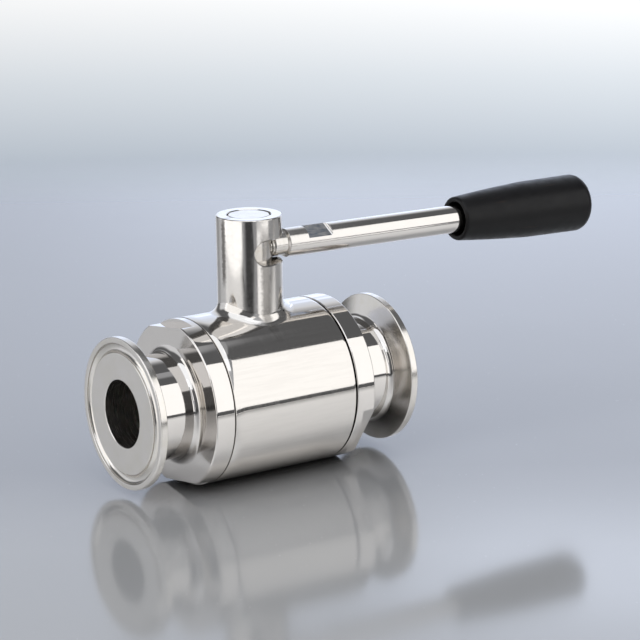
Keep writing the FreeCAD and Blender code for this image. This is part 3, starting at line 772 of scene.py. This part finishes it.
# Table, in metres: a glossy grey sheet. Its front edge runs along the valve, its left edge is near,
# it falls away a little towards the camera, its far end fades out, and a painted shade darkens it under the
# barrel
floor_height = cad_box[0][2]
table_front, table_left, table_right, table_back = -0.205, -0.31, 2.4, 1.8
table_bow_start, table_bow = 0.02, 0.105
table_fade_start, table_fade_end = 0.40, 0.57
# Where the painted shade under the barrel lies on the table
shade_left, shade_right, shade_front, shade_back = -0.031, 0.044, -0.011, 0.020


def ahead(x, y):
    """Distance of a place on the table beyond the valve, as the camera looks."""
    return x * cos(camera_yaw) + y * sin(camera_yaw)


def table_sheet():
    """Grey laminate with an uneven soft gloss and fine dust; its far end has no edge.

    The camera sees a dark grey sheet that mirrors the backdrop, with painted light towards the camera and
    painted shade under the barrel. Steel sees a paler copy, a painted light that stands for a gloss throwing
    the lamps' light forwards; it dims at the front edge and is painted dark under the barrel.
    """
    material, tree = new_material("laminate_grey")
    place = add(tree, "ShaderNodeTexCoord").outputs["Object"]
    beyond = add(tree, "ShaderNodeVectorMath", {0: place, 1: (cos(camera_yaw), sin(camera_yaw), 0.0)},
                 operation="DOT_PRODUCT")
    fade = add(tree, "ShaderNodeMapRange", {"Value": beyond.outputs["Value"], "From Min": table_fade_start,
                                            "From Max": table_fade_end}, interpolation_type="SMOOTHSTEP")
    smear = add(tree, "ShaderNodeTexNoise", {"Vector": place, "Scale": per_mm(60)[0], "Detail": 4.0})
    gloss = add(tree, "ShaderNodeMapRange", {"Value": smear, "From Min": 0.3, "From Max": 0.7,
                                             "To Min": 0.10, "To Max": 0.14})

    # Painted shade: hardly any light gets under the barrel, so the base is painted near black there;
    # and the sheet is paler towards the camera
    parts = add(tree, "ShaderNodeSeparateXYZ", {0: place}).outputs
    under_along = within(tree, parts["X"], shade_left, shade_right, 0.010)
    under_across = within(tree, parts["Y"], shade_front, shade_back, 0.013)
    under = add(tree, "ShaderNodeMath", {0: under_along, 1: under_across}, operation="MULTIPLY")
    # Painted light: the paler base towards the camera stands in for the brighter light on the front of the
    # sheet
    near = add(tree, "ShaderNodeMapRange", {"Value": beyond.outputs["Value"], "From Min": 0.0,
                                            "From Max": -0.08})
    pale = add(tree, "ShaderNodeMix", {"Factor": near, MIX_A: linear("868686"), MIX_B: linear("9A9A9A")},
               data_type="RGBA")
    shaded = add(tree, "ShaderNodeMix", {"Factor": under, MIX_A: pale.outputs[MIX_RESULT],
                                         MIX_B: linear("101010")}, data_type="RGBA")
    specks = add(tree, "ShaderNodeTexNoise", {"Vector": place, "Scale": per_mm(1.1)[0], "Detail": 2.0})
    dust = add(tree, "ShaderNodeMapRange", {"Value": specks, "From Min": 0.75, "From Max": 0.79})
    dusty = add(tree, "ShaderNodeMix", {"Factor": dust, MIX_A: shaded.outputs[MIX_RESULT],
                                        MIX_B: linear("B8B8B8")}, data_type="RGBA")
    laminate = add(tree, "ShaderNodeBsdfPrincipled", {"Base Color": dusty.outputs[MIX_RESULT],
                                                      "Roughness": gloss, "IOR": 1.6})
    # Painted light: steel sees a paler copy of the sheet, darker towards the front edge and painted near
    # black under the barrel
    edge = add(tree, "ShaderNodeMapRange", {"Value": parts["Y"], "From Min": table_front + 0.07,
                                            "From Max": table_front + 0.01})
    towards_edge = add(tree, "ShaderNodeMix", {"Factor": edge, MIX_A: linear("EAEAEA"),
                                               MIX_B: linear("6A6A6A")}, data_type="RGBA")
    lit = add(tree, "ShaderNodeMix", {"Factor": under, MIX_A: towards_edge.outputs[MIX_RESULT],
                                      MIX_B: linear("202020")}, data_type="RGBA")
    painted_light_sheet = add(tree, "ShaderNodeBsdfPrincipled", {"Base Color": lit.outputs[MIX_RESULT], "Metallic": 0.45,
                                                  "Roughness": 0.35})
    from_metal = add(tree, "ShaderNodeLightPath").outputs["Is Glossy Ray"]
    sheet = add(tree, "ShaderNodeMixShader", {0: from_metal, 1: laminate, 2: painted_light_sheet})
    clear = add(tree, "ShaderNodeBsdfTransparent")
    both = add(tree, "ShaderNodeMixShader", {0: fade, 1: sheet, 2: clear})
    add(tree, "ShaderNodeOutputMaterial", {"Surface": both})
    return material


def table_top():
    """Sheet of small squares that bends down towards the camera."""
    across, along = 108, 80
    vertices, faces = [], []
    for row in range(along + 1):
        y = table_front + (table_back - table_front) * row / along
        for column in range(across + 1):
            x = table_left + (table_right - table_left) * column / across
            near = max(0.0, -ahead(x, y) - table_bow_start)
            vertices.append((x, y, floor_height - table_bow * near ** 2))
    for row in range(along):
        for column in range(across):
            first = row * (across + 1) + column
            faces.append((first, first + 1, first + across + 2, first + across + 1))
    sheet = mesh_object("table_top", vertices, [], faces)
    sheet.data.shade_smooth()
    sheet.data.materials.append(table_sheet())


table_top()


def softbox(name, corner, across, up, radiance, colour="FFFFFF"):
    """Area lamp over the rectangle from a corner along two sides, hidden from the camera.

    It shines along the cross product of across and up.
    """
    corner, across, up = Vector(corner), Vector(across), Vector(up)
    lamp = bpy.data.lights.new(name, "AREA")
    lamp.shape = "RECTANGLE"
    lamp.size, lamp.size_y = across.length, up.length
    lamp.energy = radiance * pi * across.length * up.length
    lamp.color = linear(colour)[:3]
    box = bpy.data.objects.new(name, lamp)
    box.visible_camera = False
    scene.collection.objects.link(box)
    facing = across.cross(up).normalized()
    turn = Matrix((across.normalized(), up.normalized(), -facing)).transposed()
    box.matrix_world = Matrix.Translation(corner + across / 2 + up / 2) @ turn.to_4x4()


# Lamps, in metres from the ball's centre; the lamps' edges are those that the steel mirrors
softbox("front_softbox", (2.7, -1.2, -0.085), (-3.04, 0, 0), (0, 0, 2.355), 1.5)
softbox("left_softbox", (-1.2, -0.80, -0.5), (0, 1.64, 0), (0, 0, 1.79), 1.4)
softbox("overhead_softbox", (-1.2, 0.3, 1.25), (1.7, 0, 0), (0, -1.75, 0), 1.5, "F2F6FC")
softbox("low_front_card", (0.8, -1.0, -0.47), (-0.9, 0, 0), (0, 0, 0.31), 1.1)


def flag():
    """Grey cloth that hangs 10 mm before the front softbox and slants off its upper left part."""
    outline = ((-0.36, -0.1), (0, -0.1), (0, 0.2), (1.35, 2.4), (-0.12, 2.4), (-0.12, 0.38), (-0.36, 0.38))
    cloth = mesh_object("flag", [(x, -1.19, z) for x, z in outline], [], [tuple(range(len(outline)))])
    material, tree = new_material("grey_cloth")
    weave = add(tree, "ShaderNodeBsdfDiffuse", {"Color": linear("D0D0D0"), "Roughness": 0.5})
    add(tree, "ShaderNodeOutputMaterial", {"Surface": weave})
    cloth.data.materials.append(material)
    cloth.visible_camera = False


flag()


def studio():
    """Dim room with a white backdrop; the camera sees a pale gradient, metal sees the room."""
    world = bpy.data.worlds.new("studio")
    scene.world = world
    world.use_nodes = True
    tree = world.node_tree
    tree.nodes.clear()
    towards = add(tree, "ShaderNodeTexCoord").outputs["Generated"]
    parts = add(tree, "ShaderNodeSeparateXYZ", {0: towards}).outputs
    angle = add(tree, "ShaderNodeMath", {0: parts["Y"], 1: parts["X"]}, operation="ARCTAN2")
    azimuth = add(tree, "ShaderNodeMath", {0: angle}, operation="DEGREES")
    rise = add(tree, "ShaderNodeMath", {0: parts["Z"]}, operation="ARCSINE")
    elevation = add(tree, "ShaderNodeMath", {0: rise}, operation="DEGREES")

    # The room is dim, with brighter and darker zones. Each has its azimuths from and to, its elevations
    # from and to, its soft edge and its level, and later ones lie on top
    level = 0.16
    for from_az, to_az, from_el, to_el, soft, zone_level in (
            (-20, 180, -90, -9, 4, 0.40),
            (-180, -20, -90, -9, 4, 0.45),
            (-136, -110, -60, 0, 3, 0.07),
            (-145, -16, -9, -6, 1.5, 0.12),
            (110, 150, -30, 30, 7, 1.0),
            (-40, 6, 59.5, 66, 1, 0.5),
            (14, 84, -14, 42, 10, 1.2),
            (30, 66, -14, 25, 8, 1.45),
            (46, 60, 6, 12.5, 4, 2.2),
            (38, 54, 20, 24, 3, 2.9)):
        beside = within(tree, azimuth, from_az, to_az, soft)
        between = within(tree, elevation, from_el, to_el, soft)
        share = add(tree, "ShaderNodeMath", {0: beside, 1: between}, operation="MULTIPLY")
        level = add(tree, "ShaderNodeMix", {0: share, MIX_LOW: level, MIX_HIGH: zone_level})
    cool = add(tree, "ShaderNodeMapRange", {"Value": level, "From Min": 1.0, "From Max": 1.4})
    colour = add(tree, "ShaderNodeMix", {"Factor": cool, MIX_A: linear("F6F9FF"), MIX_B: linear("E1EBFF")},
                 data_type="RGBA")
    room = add(tree, "ShaderNodeBackground", {"Color": colour.outputs[MIX_RESULT], "Strength": level})
    shade = add(tree, "ShaderNodeMapRange", {"Value": elevation, "From Min": -11.0, "From Max": -7.6})
    ramp = add(tree, "ShaderNodeValToRGB", {"Fac": shade})
    stops = ramp.color_ramp.elements
    stops[0].color, stops[1].color = linear("BCC5D0"), linear("FDFEFF")
    stops.new(0.5).color = linear("DCE2E8")
    side = add(tree, "ShaderNodeMapRange", {"Value": azimuth, "From Min": 66.0, "From Max": 50.0,
                                            "To Min": 0.9, "To Max": 1.08})
    seen = add(tree, "ShaderNodeBackground", {"Color": ramp, "Strength": side})
    from_camera = add(tree, "ShaderNodeLightPath").outputs["Is Camera Ray"]
    both = add(tree, "ShaderNodeMixShader", {0: from_camera, 1: room, 2: seen})
    add(tree, "ShaderNodeOutputWorld", {0: both})


studio()

camera = bpy.data.objects.new("camera", bpy.data.cameras.new("camera"))
camera.data.lens, camera.data.sensor_width = camera_lens, 36
scene.collection.objects.link(camera)
view = Vector((cos(camera_pitch) * cos(camera_yaw), cos(camera_pitch) * sin(camera_yaw), -sin(camera_pitch)))
level_right = Vector((sin(camera_yaw), -cos(camera_yaw), 0))
level_up = level_right.cross(view)
right = cos(camera_roll) * level_right + sin(camera_roll) * level_up
up = cos(camera_roll) * level_up - sin(camera_roll) * level_right
camera.matrix_world = Matrix.Translation(camera_place) @ Matrix((right, up, -view)).transposed().to_4x4()
scene.camera = camera
scene.view_settings.view_transform = "Standard"
